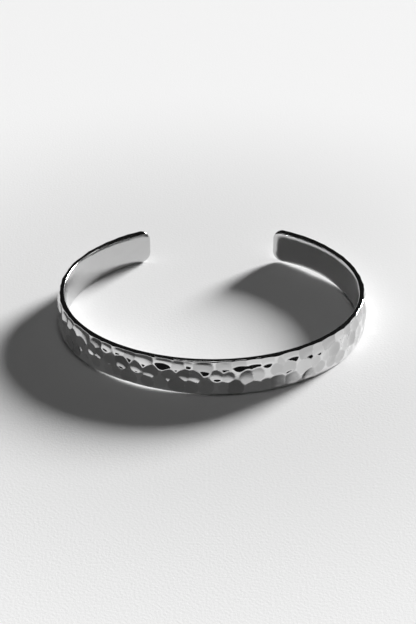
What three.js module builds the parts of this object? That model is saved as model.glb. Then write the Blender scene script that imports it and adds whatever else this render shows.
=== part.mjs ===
// Hammered silver cuff bracelet, one piece of metal.
// Millimetres, +Z up. The cuff lies on its lower edge on the plane z = 0, and its open side
// faces +Y. The origin is under the middle of the outside box.
//
// The band is worked out as a straight strip first: "along" runs from the left tip to the
// right tip, "depth" goes from the outer face (0) to the inner face (WALL), and "up" is the
// height above the lower edge. The strip is then bent round an oval.
import * as THREE from "three";

// Plan of the outer face
const OUTER_WIDTH = 62;
const OUTER_DEPTH = 53.2;
const TIP_ANGLE = 64; // degrees between +X and each tip, seen from the middle of the oval

// Strip
const BAND_HEIGHT = 7.6;
const WALL = 1.6;
const EDGE_ROUND = 0.25; // radius that softens every long edge and the tips
const TIP_CORNER = 2.3; // radius of the upper and lower corner of each tip, seen from the side

// The outer face is domed across the band, and stands furthest out at one level. The inner face
// falls away close to the long edges.
const DOME_RADIUS = 18;
const DOME_LEVEL = 3.2;
const INNER_FALL = 0.32;
const INNER_FALL_WIDTH = 1.5;

// The wall thins from inside towards both tips. The places are shares of the strip's length,
// from its middle.
const TIP_THINNING = { from: 0.28, to: 0.46, depth: 0.35 };

// How finely the strip is divided
const STATIONS = 118; // straight stretches between the rounded tips
const CORNER_STEPS = 5;
const ROWS = 8;
const ROUND_STEPS = 2;

// Places where the band leaves the surface it lies on. Each row is a smooth hump along the
// strip: its middle and half length as shares of the strip, and how high it rises.
const LOWER_EDGE_ARCHES = [
  { middle: 0.41, halfLength: 0.15, rise: 0.42 },
  { middle: 0.93, halfLength: 0.09, rise: 0.3 },
];
const ARM_SPRING = { from: 0.8, to: 0.95, rise: 0.25 }; // the right arm is sprung upwards

// Hammer marks on the outer face: shallow round hollows in staggered rows, struck into metal
// that stands proud by the allowance
const BLOW_ROWS = 3;
const BLOW_PITCH = 2.75; // along the strip
const BLOW_JITTER = 0.55;
const BLOW_DEPTH = 0.3;
const HAMMER_ALLOWANCE = 0.3;
const HAMMER_RADIUS = 5; // radius of the domed hammer face

const SILVER = { color: 0xc9cacb, roughness: 0.12, metalness: 1 };

// The outer oval from the left tip, round the front, to the right tip
function makeOval() {
  const start = THREE.MathUtils.degToRad(180 - TIP_ANGLE);
  const end = THREE.MathUtils.degToRad(360 + TIP_ANGLE);
  const oval = new THREE.EllipseCurve(0, 0, OUTER_WIDTH / 2, OUTER_DEPTH / 2, start, end);
  oval.arcLengthDivisions = 2000;
  return oval;
}

// A repeatable number from 0 to 1 for a pair of whole numbers
function scatter(row, column, channel) {
  const wave = Math.sin(row * 12.9898 + column * 78.233 + channel * 37.719) * 43758.5453;
  return wave - Math.floor(wave);
}

// The middle and depth of every hammer blow
function makeBlows(length) {
  const rowPitch = BAND_HEIGHT / BLOW_ROWS;
  const columns = Math.ceil(length / BLOW_PITCH) + 1;
  const blows = [];
  for (let row = 0; row < BLOW_ROWS; row += 1) {
    for (let column = 0; column < columns; column += 1) {
      const stagger = row % 2 === 0 ? 0 : 0.5;
      blows.push({
        along: (column + stagger) * BLOW_PITCH + (scatter(row, column, 1) * 2 - 1) * BLOW_JITTER,
        up: (row + 0.5) * rowPitch + (scatter(row, column, 2) * 2 - 1) * BLOW_JITTER,
        depth: BLOW_DEPTH * (0.8 + 0.4 * scatter(row, column, 3)),
      });
    }
  }
  return blows;
}

// How far the outer face is pushed in at a place on the strip: the deepest blow there
function dentDepth(blows, along, up) {
  let deepest = 0;
  for (const blow of blows) {
    const distance = Math.hypot(along - blow.along, up - blow.up);
    deepest = Math.max(deepest, blow.depth - (distance * distance) / (2 * HAMMER_RADIUS));
  }
  return deepest;
}

// How far a point of the wall moves inwards because of the domed outer face, the hammering
// allowance, the fall of the inner face and the thinning towards the tips. They count by how
// near the point is to each face.
function crownShift(share, depth, up) {
  const through = depth / WALL;
  const outerFall = (up - DOME_LEVEL) ** 2 / (2 * DOME_RADIUS) - HAMMER_ALLOWANCE;
  const fromEdge = Math.min(up, BAND_HEIGHT - up);
  const innerFall = INNER_FALL * Math.max(0, 1 - fromEdge / INNER_FALL_WIDTH) ** 2;
  const fromMiddle = Math.abs(share - 0.5);
  const { from, to, depth: most } = TIP_THINNING;
  const thinning = most * THREE.MathUtils.smoothstep(fromMiddle, from, to);
  return outerFall * (1 - through) - (innerFall + thinning) * through;
}

function lowerEdgeRise(share) {
  let rise = 0;
  for (const arch of LOWER_EDGE_ARCHES) {
    const reach = Math.min(Math.abs(share - arch.middle) / arch.halfLength, 1);
    rise += arch.rise * (1 - THREE.MathUtils.smoothstep(reach, 0, 1));
  }
  return rise;
}

function armRise(share) {
  return ARM_SPRING.rise * THREE.MathUtils.smoothstep(share, ARM_SPRING.from, ARM_SPRING.to);
}

// The upper outline of one flat layer of the strip, from tip to tip. The layer is set in from
// the strip's own outline by inset, and its lower outline is the mirror image.
function layerColumns(length, inset) {
  const columns = [];
  const radius = TIP_CORNER - inset;
  const straight = length - 2 * TIP_CORNER;
  const cornerTop = BAND_HEIGHT - TIP_CORNER;
  for (let step = 0; step < CORNER_STEPS; step += 1) {
    const turn = ((step / CORNER_STEPS) * Math.PI) / 2;
    columns.push({ along: TIP_CORNER - radius * Math.cos(turn), top: cornerTop + radius * Math.sin(turn) });
  }
  for (let step = 0; step <= STATIONS; step += 1) {
    columns.push({ along: TIP_CORNER + (straight * step) / STATIONS, top: BAND_HEIGHT - inset });
  }
  for (let step = CORNER_STEPS - 1; step >= 0; step -= 1) {
    const turn = ((step / CORNER_STEPS) * Math.PI) / 2;
    const along = length - TIP_CORNER + radius * Math.cos(turn);
    columns.push({ along, top: cornerTop + radius * Math.sin(turn) });
  }
  return columns;
}

// The layers from the outer face, round the softened edge, to the inner face
function makeLayers() {
  const layers = [];
  for (let step = 0; step <= ROUND_STEPS; step += 1) {
    const turn = ((step / ROUND_STEPS) * Math.PI) / 2;
    const depth = EDGE_ROUND * (1 - Math.cos(turn));
    const inset = EDGE_ROUND * (1 - Math.sin(turn));
    layers.push({ depth, inset });
  }
  const mirrored = layers.map((layer) => ({ depth: WALL - layer.depth, inset: layer.inset }));
  return layers.concat(mirrored.reverse());
}

// The cuff: a closed shell of an outer grid, an inner grid and the layers between their rims
function makeCuffBand() {
  const oval = makeOval();
  const length = oval.getLength();
  const blows = makeBlows(length);
  const positions = [];
  const triangles = [];

  function addPoint(along, depth, up) {
    const share = THREE.MathUtils.clamp(along / length, 0, 1);
    const point = oval.getPointAt(share);
    const tangent = oval.getTangentAt(share);
    const hammered = Math.max(0, 1 - depth / (WALL - EDGE_ROUND));
    const inward = depth + crownShift(share, depth, up) + dentDepth(blows, along, up) * hammered;
    const raised = up + lowerEdgeRise(share) * (1 - up / BAND_HEIGHT) + armRise(share);
    positions.push(point.x - tangent.y * inward, point.y + tangent.x * inward, raised);
    return positions.length / 3 - 1;
  }

  function addGrid(layer) {
    return layerColumns(length, layer.inset).map((column) => {
      const bottom = BAND_HEIGHT - column.top;
      const points = [];
      for (let row = 0; row <= ROWS; row += 1) {
        const up = bottom + ((column.top - bottom) * row) / ROWS;
        points.push(addPoint(column.along, layer.depth, up));
      }
      return points;
    });
  }

  // The rim of a grid as one loop of points, counter-clockwise seen from outside
  function gridRim(grid) {
    const last = grid.length - 1;
    const lower = grid.map((column) => column[0]);
    const rightTip = grid[last].slice(1, ROWS);
    const upper = grid.map((column) => column[ROWS]).reverse();
    const leftTip = grid[0].slice(1, ROWS).reverse();
    return [...lower, ...rightTip, ...upper, ...leftTip];
  }

  function addQuad(a, b, c, d) {
    triangles.push(a, b, c, a, c, d);
  }

  function fillGrid(grid, facesOut) {
    for (let column = 0; column < grid.length - 1; column += 1) {
      for (let row = 0; row < ROWS; row += 1) {
        const a = grid[column][row];
        const b = grid[column + 1][row];
        const c = grid[column + 1][row + 1];
        const d = grid[column][row + 1];
        if (facesOut) addQuad(a, b, c, d);
        else addQuad(d, c, b, a);
      }
    }
  }

  // A layer between the faces has only its rim: the same loop as a grid's, without the middle
  function addRim(layer) {
    const columns = layerColumns(length, layer.inset);
    const tipPoints = (along) => {
      const points = [];
      for (let row = 1; row < ROWS; row += 1) {
        const up = TIP_CORNER + ((BAND_HEIGHT - 2 * TIP_CORNER) * row) / ROWS;
        points.push(addPoint(along, layer.depth, up));
      }
      return points;
    };
    const lower = columns.map((column) => addPoint(column.along, layer.depth, BAND_HEIGHT - column.top));
    const rightTip = tipPoints(columns[columns.length - 1].along);
    const upper = columns.map((column) => addPoint(column.along, layer.depth, column.top)).reverse();
    const leftTip = tipPoints(columns[0].along).reverse();
    return [...lower, ...rightTip, ...upper, ...leftTip];
  }

  function bridge(outerRim, innerRim) {
    for (let index = 0; index < outerRim.length; index += 1) {
      const next = (index + 1) % outerRim.length;
      addQuad(outerRim[index], innerRim[index], innerRim[next], outerRim[next]);
    }
  }

  const layers = makeLayers();
  const outerFace = addGrid(layers[0]);
  const innerFace = addGrid(layers[layers.length - 1]);
  const rims = [gridRim(outerFace), ...layers.slice(1, -1).map(addRim), gridRim(innerFace)];
  fillGrid(outerFace, true);
  fillGrid(innerFace, false);
  for (let index = 0; index < rims.length - 1; index += 1) {
    bridge(rims[index], rims[index + 1]);
  }

  const geometry = new THREE.BufferGeometry();
  geometry.setAttribute("position", new THREE.Float32BufferAttribute(positions, 3));
  geometry.setIndex(triangles);
  geometry.computeVertexNormals();
  geometry.computeBoundingBox();
  const middle = geometry.boundingBox.getCenter(new THREE.Vector3());
  const band = new THREE.Mesh(geometry, new THREE.MeshStandardMaterial(SILVER));
  band.name = "cuff_band";
  band.position.set(-middle.x, -middle.y, 0);
  return band;
}

const cuff = new THREE.Group();
cuff.add(makeCuffBand());
export default cuff;
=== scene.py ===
"""Looks of an open silver cuff bracelet: hammered outside, smooth inside, lying on pale paper.

The band is made as a smith makes it. A flat strip gets rounded tips and softened edges, its
outer face is hammered, and it is then bent round an oval. Metres, +Z up, as in the frame.
"""

import logging
import math
from dataclasses import dataclass, field
from enum import Enum

import bpy
import numpy as np
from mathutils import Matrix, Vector


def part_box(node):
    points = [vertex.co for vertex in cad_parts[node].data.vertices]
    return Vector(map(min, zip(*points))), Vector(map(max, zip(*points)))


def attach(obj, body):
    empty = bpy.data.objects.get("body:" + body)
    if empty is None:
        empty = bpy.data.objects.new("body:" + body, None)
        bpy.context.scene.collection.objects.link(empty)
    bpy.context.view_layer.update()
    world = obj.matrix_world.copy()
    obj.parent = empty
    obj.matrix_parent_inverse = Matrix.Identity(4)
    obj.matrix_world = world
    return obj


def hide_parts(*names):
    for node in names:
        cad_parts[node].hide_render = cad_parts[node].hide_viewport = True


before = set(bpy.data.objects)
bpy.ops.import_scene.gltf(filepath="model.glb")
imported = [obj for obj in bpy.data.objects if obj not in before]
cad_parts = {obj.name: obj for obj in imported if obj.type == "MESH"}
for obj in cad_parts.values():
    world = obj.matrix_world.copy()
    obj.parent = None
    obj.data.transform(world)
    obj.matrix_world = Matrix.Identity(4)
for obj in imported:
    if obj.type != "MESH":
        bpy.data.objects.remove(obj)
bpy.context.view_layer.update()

NODE = "cuff_band"
BODY = "root"
MM = 0.001

log = logging.getLogger("cuff")


class Face(Enum):
    """The two finishes of the band, and the material index of each."""

    HAMMERED = 0
    POLISHED = 1


def smoothstep(value: np.ndarray) -> np.ndarray:
    """Ease a value from 0 to 1.

    Args:
        value: Numbers on any scale. What lies outside 0 to 1 is held at the ends.

    Returns:
        The eased numbers.
    """
    held = np.clip(value, 0.0, 1.0)
    return held * held * (3.0 - 2.0 * held)


def grey(tone: float) -> tuple[float, float, float, float]:
    """Return an opaque neutral colour of a tone from 0 to 1."""
    return (tone, tone, tone, 1.0)


def only(piece: bpy.types.Object) -> None:
    """Make one object the only selected and the active one.

    Args:
        piece: The object to work on.
    """
    bpy.ops.object.select_all(action="DESELECT")
    piece.select_set(True)
    bpy.context.view_layer.objects.active = piece


def apply_modifier(piece: bpy.types.Object, modifier: bpy.types.Modifier) -> None:
    """Apply one modifier to its object.

    Args:
        piece: The object that carries the modifier.
        modifier: The modifier to apply.
    """
    only(piece)
    bpy.ops.object.modifier_apply(modifier=modifier.name)


def read_points(mesh: bpy.types.Mesh) -> np.ndarray:
    """Return a mesh's vertex places as an array of rows x, y, z."""
    flat = np.empty(len(mesh.vertices) * 3)
    mesh.vertices.foreach_get("co", flat)
    return flat.reshape(-1, 3)


def write_points(mesh: bpy.types.Mesh, points: np.ndarray) -> None:
    """Set a mesh's vertex places from an array of rows x, y, z."""
    mesh.vertices.foreach_set("co", points.ravel())
    mesh.update()


def read_attribute(mesh: bpy.types.Mesh, name: str) -> np.ndarray:
    """Return one whole number per vertex, stored on the mesh under a name."""
    values = np.empty(len(mesh.vertices), dtype=np.int32)
    mesh.attributes[name].data.foreach_get("value", values)
    return values


def write_attribute(mesh: bpy.types.Mesh, name: str, values: np.ndarray) -> None:
    """Store one whole number per vertex on the mesh under a name."""
    layer = mesh.attributes.get(name) or mesh.attributes.new(name, "INT", "POINT")
    layer.data.foreach_set("value", values.astype(np.int32))


def write_shade(mesh: bpy.types.Mesh, name: str, values: np.ndarray) -> None:
    """Store one number from 0 to 1 per vertex, for a material to read, under a name."""
    layer = mesh.attributes.new(name, "FLOAT", "POINT")
    layer.data.foreach_set("value", values.astype(np.float32))


@dataclass(frozen=True)
class Arch:
    """A stretch where the lower edge arches clear of the surface below."""

    middle: float
    half_length: float
    rise: float

    def height(self, share: np.ndarray) -> np.ndarray:
        """Return how far the lower edge is raised.

        Args:
            share: Places along the strip, 0 at the left tip and 1 at the right.

        Returns:
            The rise in metres at each place.
        """
        reach = np.abs(share - self.middle) / self.half_length
        return self.rise * (1.0 - smoothstep(reach))


@dataclass(frozen=True)
class Spring:
    """A stretch over which the band climbs, and stays up to its tip."""

    start: float
    end: float
    rise: float

    def height(self, share: np.ndarray) -> np.ndarray:
        """Return how far the whole band is raised at places along the strip."""
        return self.rise * smoothstep((share - self.start) / (self.end - self.start))


@dataclass(frozen=True)
class CuffSizes:
    """The driving sizes of the band."""

    centre_y: float
    height: float
    outer_width: float = 62.0 * MM
    outer_depth: float = 53.2 * MM
    wall: float = 1.6 * MM
    edge_round: float = 0.25 * MM
    tip_corner: float = 2.3 * MM
    dome_radius: float = 18.0 * MM
    dome_level: float = 3.2 * MM
    inner_fall: float = 0.32 * MM
    inner_fall_width: float = 1.5 * MM
    thinning: float = 0.35 * MM
    thinning_start: float = 0.28
    thinning_end: float = 0.46
    tip_angle: float = math.radians(64.0)
    arches: tuple[Arch, ...] = (
        Arch(middle=0.41, half_length=0.15, rise=0.42 * MM),
        Arch(middle=0.93, half_length=0.09, rise=0.3 * MM),
    )
    spring: Spring = Spring(start=0.8, end=0.95, rise=0.25 * MM)

    @classmethod
    def from_frame(cls, node: str) -> "CuffSizes":
        """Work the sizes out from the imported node.

        Args:
            node: The name of the CAD node.

        Returns:
            Sizes that fill the node's box.
        """
        low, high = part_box(node)
        proud = (high.x - low.x - cls.outer_width) / 2
        centre_y = low.y + proud + cls.outer_depth / 2
        return cls(centre_y=centre_y, height=high.z - low.z - cls.spring.rise)

    def thinning_at(self, share: np.ndarray) -> np.ndarray:
        """Return how much thinner the wall is at places along the strip."""
        reach = self.thinning_end - self.thinning_start
        return self.thinning * smoothstep((np.abs(share - 0.5) - self.thinning_start) / reach)


class Oval:
    """The outer oval from the left tip, round the front, to the right tip."""

    SAMPLES = 20001

    def __init__(self, sizes: CuffSizes) -> None:
        """Measure the oval.

        Args:
            sizes: The band's sizes.
        """
        angles = np.linspace(
            math.pi - sizes.tip_angle, 2 * math.pi + sizes.tip_angle, self.SAMPLES
        )
        self.x = sizes.outer_width / 2 * np.cos(angles)
        self.y = sizes.outer_depth / 2 * np.sin(angles) + sizes.centre_y
        steps = np.hypot(np.diff(self.x), np.diff(self.y))
        self.along = np.concatenate([[0.0], np.cumsum(steps)])

    @property
    def length(self) -> float:
        """The length of the oval from tip to tip."""
        return float(self.along[-1])

    def places(self, count: int) -> np.ndarray:
        """Return points at equal steps along the oval.

        Args:
            count: How many points.

        Returns:
            Rows of x, y.
        """
        along = np.linspace(0.0, self.length, count)
        return np.column_stack(
            [np.interp(along, self.along, self.x), np.interp(along, self.along, self.y)]
        )


@dataclass(frozen=True)
class HammerRow:
    """One row of blows: its level, and the range of depths and of hammer domes in it."""

    level: float
    shallow: float
    deep: float
    small_dome: float
    large_dome: float


@dataclass(frozen=True)
class Struck:
    """What hammering leaves: depth under the plain face, tone of the blow, nearness to a ridge."""

    depth: np.ndarray
    tone: np.ndarray
    ridge: np.ndarray


@dataclass(frozen=True)
class HammerWork:
    """Blows of domed hammers in staggered rows on the outer face."""

    rows: tuple[HammerRow, ...] = (
        HammerRow(
            level=1.75 * MM, shallow=0.2 * MM, deep=0.45 * MM, small_dome=3.0 * MM, large_dome=5.0 * MM
        ),
        HammerRow(
            level=4.2 * MM, shallow=0.24 * MM, deep=0.52 * MM, small_dome=2.7 * MM, large_dome=4.4 * MM
        ),
        HammerRow(
            level=6.7 * MM, shallow=0.2 * MM, deep=0.45 * MM, small_dome=3.6 * MM, large_dome=6.2 * MM
        ),
    )
    pitch: float = 2.9 * MM
    jitter: float = 0.8 * MM
    level_jitter: float = 0.5 * MM
    ridge_width: float = 0.015 * MM
    allowance: float = 0.3 * MM
    edge_fade: float = 0.9 * MM
    edge_share: float = 0.55
    plain_tone: float = 0.5
    seed: int = 19

    def blows(self, length: float) -> np.ndarray:
        """Place the blows.

        Args:
            length: The strip's length.

        Returns:
            Rows of along, up, depth and dome radius.
        """
        chance = np.random.default_rng(self.seed)
        blows = []
        columns = int(length / self.pitch) + 2
        for index, row in enumerate(self.rows):
            along = (np.arange(columns) + 0.5 * (index % 2)) * self.pitch
            along = along + chance.uniform(-self.jitter, self.jitter, columns)
            up = row.level + chance.uniform(-self.level_jitter, self.level_jitter, columns)
            depth = chance.uniform(row.shallow, row.deep, columns)
            dome = chance.uniform(row.small_dome, row.large_dome, columns)
            blows.append(np.column_stack([along, up, depth, dome]))
        return np.concatenate(blows)

    def strike(self, along: np.ndarray, up: np.ndarray, blows: np.ndarray) -> Struck:
        """Work out what the blows leave at places on the face.

        Args:
            along: Places along the strip.
            up: Heights on the strip.
            blows: What blows() returned.

        Returns:
            The depth, the tone and the nearness to a ridge at each place.
        """
        deepest = np.zeros_like(along)
        second = np.zeros_like(along)
        tone = np.full_like(along, self.plain_tone)
        tones = np.random.default_rng(self.seed + 1).uniform(0.0, 1.0, len(blows))
        reach = 2 * self.pitch
        for (middle, level, depth, dome), blow_tone in zip(blows, tones):
            near = np.flatnonzero(np.abs(along - middle) < reach)
            away = (along[near] - middle) ** 2 + (up[near] - level) ** 2
            cut = depth - away / (2 * dome)
            wins = cut > deepest[near]
            second[near] = np.where(wins, deepest[near], np.maximum(second[near], cut))
            tone[near[wins]] = blow_tone
            deepest[near[wins]] = cut[wins]
        ridge = np.exp(-(deepest - second) / self.ridge_width)
        return Struck(depth=deepest, tone=tone, ridge=ridge)


@dataclass
class CuffBand:
    """The whole band, made flat, hammered and bent."""

    sizes: CuffSizes
    hammer: HammerWork = field(default_factory=HammerWork)
    stations: int = 800
    corner_steps: int = 14
    rows: int = 40
    round_steps: int = 5
    oval_points: int = 1500
    merge_distance: float = 0.0001 * MM
    oval: Oval = field(init=False)

    def __post_init__(self) -> None:
        """Measure the oval that the strip is bent round."""
        self.oval = Oval(self.sizes)

    def build(self) -> bpy.types.Object:
        """Make the finished band.

        Returns:
            The band's object, at the origin with its place in its mesh.
        """
        piece = self.cut_strip()
        self.fold_rim(piece)
        self.close_wall(piece)
        self.unroll_uv(piece)
        self.assign_finishes(piece)
        self.dome_faces(piece)
        self.strike(piece)
        self.relax_edges(piece)
        self.bend(piece)
        return piece

    def outline(self, inset: float) -> tuple[np.ndarray, np.ndarray]:
        """Work out the upper outline of one layer of the strip, from tip to tip.

        Args:
            inset: How far the layer is set in from the strip's own outline.

        Returns:
            The places along the strip and the heights of the outline there.
        """
        corner, length = self.sizes.tip_corner, self.oval.length
        turn = np.linspace(0.0, math.pi / 2, self.corner_steps, endpoint=False)
        radius = corner - inset
        left = corner - radius * np.cos(turn)
        rise = self.sizes.height - corner + radius * np.sin(turn)
        straight = np.linspace(corner, length - corner, self.stations + 1)
        level = np.full(self.stations + 1, self.sizes.height - inset)
        along = np.concatenate([left, straight, (length - left)[::-1]])
        return along, np.concatenate([rise, level, rise[::-1]])

    def layers(self) -> list[tuple[float, float]]:
        """Return depth and inset of the layers from the outer face to the middle of the wall."""
        turns = [step / self.round_steps * math.pi / 2 for step in range(self.round_steps + 1)]
        soft = self.sizes.edge_round
        rounded = [(soft * (1 - math.cos(t)), soft * (1 - math.sin(t))) for t in turns]
        return rounded + [(self.sizes.wall / 2, 0.0)]

    def cut_strip(self) -> bpy.types.Object:
        """Add the flat grid that becomes the outer face.

        Returns:
            The new object, with each vertex's column, row and layer stored on it.
        """
        bpy.ops.object.select_all(action="DESELECT")
        columns = self.stations + 2 * self.corner_steps
        bpy.ops.mesh.primitive_grid_add(
            x_subdivisions=columns,
            y_subdivisions=self.rows,
            size=1.0,
            rotation=(math.pi / 2, 0.0, 0.0),
        )
        piece = bpy.context.object
        piece.name = piece.data.name = "hammered_cuff"
        bpy.ops.object.transform_apply(location=True, rotation=True, scale=True)
        points = read_points(piece.data)
        write_attribute(piece.data, "column", np.rint((points[:, 0] + 0.5) * columns))
        write_attribute(piece.data, "row", np.rint((points[:, 2] + 0.5) * self.rows))
        write_attribute(piece.data, "layer", np.zeros(len(points)))
        self.place_layers(piece)
        return piece

    def place_layers(self, piece: bpy.types.Object) -> None:
        """Put every vertex at its place on the flat strip.

        Args:
            piece: The strip, with column, row and layer stored on its vertices.
        """
        column = read_attribute(piece.data, "column")
        share = read_attribute(piece.data, "row") / self.rows
        layer = read_attribute(piece.data, "layer")
        points = np.zeros((len(column), 3))
        for index, (depth, inset) in enumerate(self.layers()):
            here = layer == index
            along, top = self.outline(inset)
            upper = top[column[here]]
            lower = self.sizes.height - upper
            points[here, 0] = along[column[here]]
            points[here, 1] = depth - self.sizes.wall / 2
            points[here, 2] = lower + (upper - lower) * share[here]
        write_points(piece.data, points)

    def fold_rim(self, piece: bpy.types.Object) -> None:
        """Extrude the rim of the face round the softened edge to the middle of the wall.

        Args:
            piece: The strip.
        """
        only(piece)
        bpy.ops.object.mode_set(mode="EDIT")
        bpy.ops.mesh.select_mode(type="EDGE")
        bpy.ops.mesh.select_all(action="DESELECT")
        bpy.ops.mesh.select_non_manifold(
            extend=False, use_wire=False, use_boundary=True, use_multi_face=False,
            use_non_contiguous=False, use_verts=False,
        )
        for index in range(1, len(self.layers())):
            bpy.ops.mesh.extrude_edges_move()
            bpy.ops.object.mode_set(mode="OBJECT")
            chosen = np.empty(len(piece.data.vertices), dtype=bool)
            piece.data.vertices.foreach_get("select", chosen)
            layer = read_attribute(piece.data, "layer")
            layer[chosen] = index
            write_attribute(piece.data, "layer", layer)
            bpy.ops.object.mode_set(mode="EDIT")
        bpy.ops.object.mode_set(mode="OBJECT")
        self.place_layers(piece)

    def close_wall(self, piece: bpy.types.Object) -> None:
        """Mirror the outer half of the wall into the inner half.

        Args:
            piece: The strip, whose mesh has the middle of the wall at y = 0.
        """
        mirror = piece.modifiers.new("inner_half", "MIRROR")
        mirror.use_axis = (False, True, False)
        mirror.use_mirror_merge = True
        mirror.merge_threshold = self.merge_distance
        apply_modifier(piece, mirror)
        bpy.ops.object.mode_set(mode="EDIT")
        bpy.ops.mesh.select_all(action="SELECT")
        bpy.ops.mesh.remove_doubles(threshold=self.merge_distance)
        bpy.ops.mesh.normals_make_consistent(inside=False)
        bpy.ops.transform.translate(value=(0.0, self.sizes.wall / 2, 0.0))
        bpy.ops.object.mode_set(mode="OBJECT")

    def unroll_uv(self, piece: bpy.types.Object) -> None:
        """Give the strip a UV map in metres: along the band, and round its section.

        Args:
            piece: The strip, flat, with its outer face at y = 0.
        """
        points = read_points(piece.data)
        side = np.where(points[:, 2] > self.sizes.height / 2, 1.0, -1.0)
        round_section = points[:, 2] + side * points[:, 1]
        corners = np.empty(len(piece.data.loops), dtype=np.int32)
        piece.data.loops.foreach_get("vertex_index", corners)
        uv = np.column_stack([points[corners, 0], round_section[corners]])
        layer = piece.data.uv_layers.new(name="strip")
        layer.data.foreach_set("uv", uv.ravel())

    def assign_finishes(self, piece: bpy.types.Object) -> None:
        """Give faces of the outer face the hammered finish and the rest the polished one.

        Args:
            piece: The strip, flat, with its outer face at y = 0.
        """
        centres = np.empty(len(piece.data.polygons) * 3)
        piece.data.polygons.foreach_get("center", centres)
        outer = centres.reshape(-1, 3)[:, 1] < self.sizes.edge_round
        index = np.where(outer, Face.HAMMERED.value, Face.POLISHED.value)
        piece.data.materials.append(HammeredSilver().material())
        piece.data.materials.append(PolishedSilver().material())
        piece.data.polygons.foreach_set("material_index", index.astype(np.int32))

    def push(self, piece: bpy.types.Object, name: str, axis: str, amount: np.ndarray) -> None:
        """Move vertices along one axis by a Displace modifier with a weight for each.

        Args:
            piece: The strip.
            name: A name for the modifier and its vertex group.
            axis: X, Y or Z.
            amount: How far each vertex moves, zero or more.
        """
        group = piece.vertex_groups.new(name=name)
        most = float(amount.max())
        for index in np.flatnonzero(amount > 0.0):
            group.add([int(index)], float(amount[index] / most), "REPLACE")
        shift = piece.modifiers.new(name, "DISPLACE")
        shift.direction = axis
        shift.mid_level = 0.0
        shift.strength = most
        shift.vertex_group = group.name
        apply_modifier(piece, shift)
        piece.vertex_groups.remove(piece.vertex_groups[name])

    def dome_faces(self, piece: bpy.types.Object) -> None:
        """Let both faces fall back towards the long edges, and the inner one at the tips too.

        The outer face starts proud of the oval by what hammering takes off.

        Args:
            piece: The strip, flat, with its outer face at y = 0.
        """
        points = read_points(piece.data)
        through = points[:, 1] / self.sizes.wall
        outer_fall = (points[:, 2] - self.sizes.dome_level) ** 2 / (2 * self.sizes.dome_radius)
        outer_fall -= self.hammer.allowance
        nearness = 1.0 - self.rim_distance(points) / self.sizes.inner_fall_width
        inner_fall = self.sizes.inner_fall * np.clip(nearness, 0.0, 1.0) ** 2
        inner_fall += self.sizes.thinning_at(points[:, 0] / self.oval.length)
        points[:, 1] += outer_fall * (1.0 - through) - inner_fall * through
        write_points(piece.data, points)

    def rim_distance(self, points: np.ndarray) -> np.ndarray:
        """Return how far points of the flat strip are from its outline.

        Args:
            points: Rows of x, y, z on the strip.

        Returns:
            The distance in metres, measured square to the outline and its rounded corners.
        """
        corner = self.sizes.tip_corner
        from_tip = np.minimum(points[:, 0], self.oval.length - points[:, 0])
        from_edge = np.minimum(points[:, 2], self.sizes.height - points[:, 2])
        round_corner = corner - np.hypot(corner - from_tip, corner - from_edge)
        in_corner = (from_tip < corner) & (from_edge < corner)
        return np.where(in_corner, round_corner, np.minimum(from_tip, from_edge))

    def strike(self, piece: bpy.types.Object) -> None:
        """Hammer the outer face. The dents run out across the flat of the rim.

        Args:
            piece: The strip, flat, with its outer face at y = 0.
        """
        points = read_points(piece.data)
        blows = self.hammer.blows(self.oval.length)
        struck = self.hammer.strike(points[:, 0], points[:, 2], blows)
        reach = self.sizes.wall - self.sizes.edge_round
        share = np.clip(1.0 - points[:, 1] / reach, 0.0, 1.0)
        inside = smoothstep(self.rim_distance(points) / self.hammer.edge_fade)
        share *= self.hammer.edge_share + (1.0 - self.hammer.edge_share) * inside
        write_shade(piece.data, "blow_tone", struck.tone)
        write_shade(piece.data, "ridge", struck.ridge)
        self.push(piece, "dents", "Y", struck.depth * share)

    def relax_edges(self, piece: bpy.types.Object) -> None:
        """Lift the lower edge and the right arm where they stand clear of the surface.

        Args:
            piece: The strip, flat.
        """
        points = read_points(piece.data)
        share = points[:, 0] / self.oval.length
        arch = sum(one.height(share) for one in self.sizes.arches)
        lift = arch * (1.0 - points[:, 2] / self.sizes.height)
        self.push(piece, "clearance", "Z", lift + self.sizes.spring.height(share))

    def bend(self, piece: bpy.types.Object) -> None:
        """Bend the strip round the oval with a Curve modifier.

        Args:
            piece: The strip, flat, its length along +X from the left tip.
        """
        data = bpy.data.curves.new("mandrel", "CURVE")
        data.dimensions = "3D"
        data.twist_mode = "Z_UP"
        line = data.splines.new("POLY")
        places = self.oval.places(self.oval_points)
        line.points.add(len(places) - 1)
        rows = np.column_stack([places, np.zeros(len(places)), np.ones(len(places))])
        line.points.foreach_set("co", rows.ravel())
        mandrel = bpy.data.objects.new("mandrel", data)
        bpy.context.collection.objects.link(mandrel)
        wrap = piece.modifiers.new("wrap", "CURVE")
        wrap.object = mandrel
        wrap.deform_axis = "POS_X"
        apply_modifier(piece, wrap)
        bpy.data.objects.remove(mandrel)
        bpy.data.curves.remove(data)
        only(piece)
        bpy.ops.object.shade_smooth()


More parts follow.
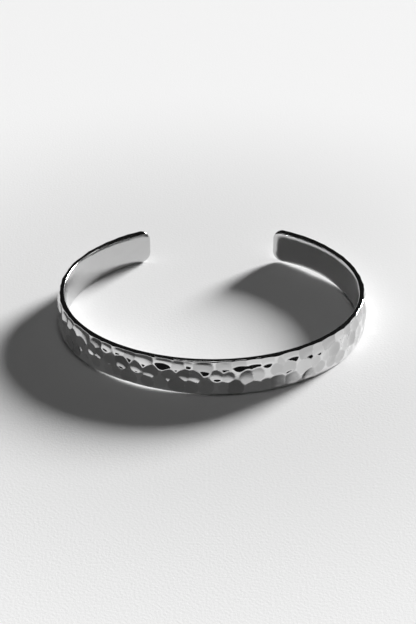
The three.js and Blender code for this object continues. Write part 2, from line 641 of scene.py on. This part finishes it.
class Nodes:
    """A short way to lay out a material's or group's nodes."""

    def __init__(self, tree: bpy.types.NodeTree) -> None:
        """Start with an empty tree.

        Args:
            tree: The node tree to fill.
        """
        self.tree = tree
        tree.nodes.clear()

    def add(self, kind: str, **settings: object) -> bpy.types.Node:
        """Add a node.

        Args:
            kind: The node's type name.
            settings: Its properties by name.

        Returns:
            The new node.
        """
        node = self.tree.nodes.new(kind)
        for name, value in settings.items():
            setattr(node, name, value)
        return node

    def link(self, source: bpy.types.NodeSocket, target: bpy.types.NodeSocket) -> None:
        """Join an output socket to an input socket."""
        self.tree.links.new(source, target)

    def ramp(self, source: bpy.types.NodeSocket, low: float, high: float) -> bpy.types.NodeSocket:
        """Stretch a value between two new ends.

        Args:
            source: A value from 0 to 1.
            low: What 0 becomes.
            high: What 1 becomes.

        Returns:
            The stretched value.
        """
        node = self.add("ShaderNodeMapRange")
        node.inputs["To Min"].default_value = low
        node.inputs["To Max"].default_value = high
        self.link(source, node.inputs["Value"])
        return node.outputs["Result"]


class HandlingMarks:
    """A node group for wear that both finishes share: fine scratches and a faint haze.

    Its Squeeze input shrinks the scratches' pattern along the band: below 1 it draws them out.
    """

    NAME = "handling_marks"
    SCRATCH_SCALE = 9000.0
    SCRATCH_DETAIL = 3.0
    HAZE_SCALE = 260.0
    HAZE_DETAIL = 4.0

    @classmethod
    def group(cls) -> bpy.types.NodeTree:
        """Build the group, or return it if it is there.

        Returns:
            A group whose outputs are Scratches and Haze, both from 0 to 1.
        """
        tree = bpy.data.node_groups.get(cls.NAME)
        if tree:
            return tree
        tree = bpy.data.node_groups.new(cls.NAME, "ShaderNodeTree")
        face = tree.interface
        face.new_socket("Strip", in_out="INPUT", socket_type="NodeSocketVector")
        face.new_socket("Squeeze", in_out="INPUT", socket_type="NodeSocketFloat")
        face.new_socket("Scratches", in_out="OUTPUT", socket_type="NodeSocketFloat")
        face.new_socket("Haze", in_out="OUTPUT", socket_type="NodeSocketFloat")
        nodes = Nodes(tree)
        start = nodes.add("NodeGroupInput")
        end = nodes.add("NodeGroupOutput")
        squeeze = nodes.add("ShaderNodeCombineXYZ")
        squeeze.inputs["Y"].default_value = 1.0
        squeeze.inputs["Z"].default_value = 1.0
        nodes.link(start.outputs["Squeeze"], squeeze.inputs["X"])
        stretched = nodes.add("ShaderNodeVectorMath", operation="MULTIPLY")
        nodes.link(start.outputs["Strip"], stretched.inputs[0])
        nodes.link(squeeze.outputs["Vector"], stretched.inputs[1])
        fine = nodes.add("ShaderNodeTexNoise")
        fine.inputs["Scale"].default_value = cls.SCRATCH_SCALE
        fine.inputs["Detail"].default_value = cls.SCRATCH_DETAIL
        nodes.link(stretched.outputs["Vector"], fine.inputs["Vector"])
        haze = nodes.add("ShaderNodeTexNoise")
        haze.inputs["Scale"].default_value = cls.HAZE_SCALE
        haze.inputs["Detail"].default_value = cls.HAZE_DETAIL
        nodes.link(start.outputs["Strip"], haze.inputs["Vector"])
        nodes.link(fine.outputs["Fac"], end.inputs["Scratches"])
        nodes.link(haze.outputs["Fac"], end.inputs["Haze"])
        return tree


@dataclass(frozen=True)
class SilverFinish:
    """A polished silver with its own wear, between a bright and a dull tone."""

    SCRATCH_HEIGHT = 0.002 * MM

    name: str
    bright: float
    dull: float
    smooth: float
    rough: float
    scratch_bump: float
    scratch_squeeze: float

    def material(self) -> bpy.types.Material:
        """Build the material.

        Returns:
            The new material.
        """
        material = bpy.data.materials.new(self.name)
        material.use_nodes = True
        nodes = Nodes(material.node_tree)
        shader = nodes.add("ShaderNodeBsdfPrincipled")
        shader.inputs["Metallic"].default_value = 1.0
        output = nodes.add("ShaderNodeOutputMaterial")
        strip = nodes.add("ShaderNodeUVMap", uv_map="strip")
        wear = nodes.add("ShaderNodeGroup", node_tree=HandlingMarks.group())
        wear.inputs["Squeeze"].default_value = self.scratch_squeeze
        nodes.link(strip.outputs["UV"], wear.inputs["Strip"])
        tone = nodes.add("ShaderNodeMix", data_type="RGBA")
        tone.inputs["A"].default_value = grey(self.bright)
        tone.inputs["B"].default_value = grey(self.dull)
        nodes.link(self.tone_mask(nodes, wear.outputs["Haze"]), tone.inputs["Factor"])
        nodes.link(tone.outputs["Result"], shader.inputs["Base Color"])
        rough = nodes.ramp(wear.outputs["Haze"], self.smooth, self.rough)
        nodes.link(rough, shader.inputs["Roughness"])
        bump = nodes.add("ShaderNodeBump")
        bump.inputs["Strength"].default_value = self.scratch_bump
        bump.inputs["Distance"].default_value = self.SCRATCH_HEIGHT
        nodes.link(wear.outputs["Scratches"], bump.inputs["Height"])
        nodes.link(bump.outputs["Normal"], shader.inputs["Normal"])
        nodes.link(shader.outputs["BSDF"], output.inputs["Surface"])
        return material

    def tone_mask(self, nodes: Nodes, haze: bpy.types.NodeSocket) -> bpy.types.NodeSocket:
        """Return the mask between the bright and the dull tone, here the haze itself."""
        return haze


@dataclass(frozen=True)
class HammeredSilver(SilverFinish):
    """The outer face, bright from the polished hammer."""

    name: str = "hammered_silver"
    bright: float = 0.84
    dull: float = 0.48
    smooth: float = 0.03
    rough: float = 0.07
    scratch_bump: float = 0.1
    scratch_squeeze: float = 0.3
    haze_share: float = 0.25
    ridge_polish: float = 0.5

    def tone_mask(self, nodes: Nodes, haze: bpy.types.NodeSocket) -> bpy.types.NodeSocket:
        """Blend the haze with each blow's own tone, and keep the ridges bright.

        Args:
            nodes: The material's nodes.
            haze: The haze, from 0 to 1.

        Returns:
            The mask between the bright and the dull tone.
        """
        blow = nodes.add("ShaderNodeAttribute", attribute_name="blow_tone")
        ridge = nodes.add("ShaderNodeAttribute", attribute_name="ridge")
        blend = nodes.add("ShaderNodeMix", data_type="FLOAT")
        blend.inputs["Factor"].default_value = self.haze_share
        nodes.link(blow.outputs["Fac"], blend.inputs["A"])
        nodes.link(haze, blend.inputs["B"])
        bright_ridge = nodes.ramp(ridge.outputs["Fac"], 0.0, self.ridge_polish)
        worn = nodes.add("ShaderNodeMath", operation="SUBTRACT", use_clamp=True)
        nodes.link(blend.outputs["Result"], worn.inputs[0])
        nodes.link(bright_ridge, worn.inputs[1])
        return worn.outputs["Value"]


@dataclass(frozen=True)
class PolishedSilver(SilverFinish):
    """The inner face and the rim, polished along the band."""

    name: str = "smooth_silver"
    bright: float = 0.66
    dull: float = 0.6
    smooth: float = 0.1
    rough: float = 0.18
    scratch_bump: float = 0.15
    scratch_squeeze: float = 0.04


@dataclass(frozen=True)
class PaperFloor:
    """The sheet of pale paper that the cuff lies on. Its colour is painted darker round the cuff, as
    painted shade.
    """

    half_size: float = 3.0
    # Painted shade: the paper's colour is darkest within the near distance of the cuff's middle and
    # eases up to far_tone by the far distance, standing in for the soft shade round the cuff.
    painted_shade_tone: float = 0.76
    far_tone: float = 0.95
    near: float = 32.0 * MM
    far: float = 115.0 * MM
    roughness: float = 0.9
    specular: float = 0.2
    grain_size: float = 0.5 * MM
    grain_detail: float = 4.0
    grain_height: float = 0.025 * MM

    def build(self) -> bpy.types.Object:
        """Add the floor.

        Returns:
            The floor's object.
        """
        bpy.ops.object.select_all(action="DESELECT")
        bpy.ops.mesh.primitive_plane_add(size=2 * self.half_size)
        floor = bpy.context.object
        floor.name = floor.data.name = "paper_floor"
        floor.data.materials.append(self.material())
        return floor

    def material(self) -> bpy.types.Material:
        """Build the paper's material, with painted shade round the cuff.

        Returns:
            The new material.
        """
        material = bpy.data.materials.new("pale_paper")
        material.use_nodes = True
        nodes = Nodes(material.node_tree)
        shader = nodes.add("ShaderNodeBsdfPrincipled")
        shader.inputs["Roughness"].default_value = self.roughness
        shader.inputs["Specular IOR Level"].default_value = self.specular
        output = nodes.add("ShaderNodeOutputMaterial")
        place = nodes.add("ShaderNodeTexCoord")
        away = nodes.add("ShaderNodeVectorMath", operation="LENGTH")
        nodes.link(place.outputs["Object"], away.inputs[0])
        # Painted shade: a smoothstep ramp by distance from the middle darkens the paper's colour near
        # the cuff.
        tone = nodes.add("ShaderNodeMapRange", interpolation_type="SMOOTHSTEP")
        tone.inputs["From Min"].default_value = self.near
        tone.inputs["From Max"].default_value = self.far
        tone.inputs["To Min"].default_value = self.painted_shade_tone
        tone.inputs["To Max"].default_value = self.far_tone
        nodes.link(away.outputs["Value"], tone.inputs["Value"])
        nodes.link(tone.outputs["Result"], shader.inputs["Base Color"])
        fibres = nodes.add("ShaderNodeTexNoise")
        fibres.inputs["Scale"].default_value = 1.0 / self.grain_size
        fibres.inputs["Detail"].default_value = self.grain_detail
        nodes.link(place.outputs["Object"], fibres.inputs["Vector"])
        bump = nodes.add("ShaderNodeBump")
        bump.inputs["Strength"].default_value = 1.0
        bump.inputs["Distance"].default_value = self.grain_height
        nodes.link(fibres.outputs["Fac"], bump.inputs["Height"])
        nodes.link(bump.outputs["Normal"], shader.inputs["Normal"])
        nodes.link(shader.outputs["BSDF"], output.inputs["Surface"])
        return material


@dataclass(frozen=True)
class Aim:
    """A direction to a light, seen from the cuff."""

    azimuth: float
    elevation: float

    def way(self) -> Vector:
        """Return the unit vector from the cuff to the light."""
        level = math.cos(self.elevation)
        across, along = level * math.cos(self.azimuth), level * math.sin(self.azimuth)
        return Vector((across, along, math.sin(self.elevation)))


@dataclass(frozen=True)
class KeyLight:
    """The far main light, which gives the same strength all over the paper."""

    aim: Aim
    spread: float
    strength: float

    def build(self) -> bpy.types.Object:
        """Add the light.

        Returns:
            The light's object.
        """
        data = bpy.data.lights.new("key_light", "SUN")
        data.angle = self.spread
        data.energy = self.strength
        light = bpy.data.objects.new("key_light", data)
        bpy.context.collection.objects.link(light)
        light.rotation_euler = self.aim.way().to_track_quat("Z", "Y").to_euler()
        return light


@dataclass(frozen=True)
class SoftLight:
    """A round soft light that points at the cuff."""

    name: str
    aim: Aim
    distance: float
    size: float
    power: float

    def build(self, target: Vector) -> bpy.types.Object:
        """Add the light.

        Args:
            target: The point it is aimed at.

        Returns:
            The light's object.
        """
        data = bpy.data.lights.new(self.name, "AREA")
        data.shape = "DISK"
        data.size = self.size
        data.energy = self.power
        light = bpy.data.objects.new(self.name, data)
        bpy.context.collection.objects.link(light)
        way = self.aim.way()
        light.location = target + way * self.distance
        light.rotation_euler = way.to_track_quat("Z", "Y").to_euler()
        light.visible_camera = False
        return light


@dataclass(frozen=True)
class Studio:
    """Light, surroundings and the camera."""

    key: KeyLight = KeyLight(
        aim=Aim(azimuth=math.radians(44.0), elevation=math.radians(20.0)),
        spread=math.radians(17.0),
        strength=7.7,
    )
    top: SoftLight = SoftLight(
        name="top_light",
        aim=Aim(azimuth=math.radians(-90.0), elevation=math.radians(85.0)),
        distance=1.2,
        size=0.5,
        power=1.3,
    )
    side: SoftLight = SoftLight(
        name="side_card",
        aim=Aim(azimuth=math.radians(15.0), elevation=math.radians(11.0)),
        distance=0.085,
        size=0.03,
        power=0.0032,
    )
    room_tone: float = 0.008
    backdrop_tone: float = 0.86
    camera_distance: float = 300.0 * MM
    camera_elevation: float = math.radians(32.86)
    camera_aim: tuple[float, float, float] = (-0.79 * MM, -3.33 * MM, 3.8 * MM)
    lens: float = 86.13
    sensor: float = 36.0
    clip_start: float = 10.0 * MM

    def build(self, sizes: CuffSizes) -> None:
        """Add the lights, the world and the camera.

        Args:
            sizes: The band's sizes, which give the middle of the oval.
        """
        target = Vector((0.0, sizes.centre_y, 0.0))
        self.key.build()
        self.top.build(target)
        self.side.build(target)
        self.surround()
        self.look(target + Vector(self.camera_aim))
        bpy.context.scene.view_settings.view_transform = "Standard"

    def surround(self) -> None:
        """Make a dark room whose backdrop the camera sees as pale."""
        world = bpy.data.worlds.new("studio")
        world.use_nodes = True
        nodes = Nodes(world.node_tree)
        path = nodes.add("ShaderNodeLightPath")
        room = nodes.add("ShaderNodeBackground")
        room.inputs["Color"].default_value = grey(self.room_tone)
        backdrop = nodes.add("ShaderNodeBackground")
        backdrop.inputs["Color"].default_value = grey(self.backdrop_tone)
        mix = nodes.add("ShaderNodeMixShader")
        output = nodes.add("ShaderNodeOutputWorld")
        nodes.link(path.outputs["Is Camera Ray"], mix.inputs["Fac"])
        nodes.link(room.outputs["Background"], mix.inputs[1])
        nodes.link(backdrop.outputs["Background"], mix.inputs[2])
        nodes.link(mix.outputs["Shader"], output.inputs["Surface"])
        bpy.context.scene.world = world

    def look(self, aim: Vector) -> None:
        """Add the camera.

        Args:
            aim: The point in the middle of the view.
        """
        data = bpy.data.cameras.new("camera")
        data.lens = self.lens
        data.sensor_width = self.sensor
        data.clip_start = self.clip_start
        camera = bpy.data.objects.new("camera", data)
        bpy.context.collection.objects.link(camera)
        level = math.cos(self.camera_elevation)
        back = Vector((0.0, -level, math.sin(self.camera_elevation)))
        camera.location = aim + back * self.camera_distance
        camera.rotation_euler = back.to_track_quat("Z", "Y").to_euler()
        bpy.context.scene.camera = camera


def report(piece: bpy.types.Object) -> None:
    """Log a piece's name, triangle count and size.

    Args:
        piece: The finished piece.
    """
    piece.data.calc_loop_triangles()
    points = read_points(piece.data)
    size = (points.max(0) - points.min(0)) / MM
    triangles = len(piece.data.loop_triangles)
    log.info("%s: %d triangles, %.2f x %.2f x %.2f mm", piece.name, triangles, *size)


def main() -> None:
    """Build the cuff, the floor and the studio."""
    logging.basicConfig(level=logging.INFO, format="%(name)s %(message)s")
    sizes = CuffSizes.from_frame(NODE)
    band = CuffBand(sizes).build()
    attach(band, BODY)
    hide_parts(NODE)
    report(band)
    floor = PaperFloor().build()
    report(floor)
    Studio().build(sizes)


if __name__ == "__main__":
    main()
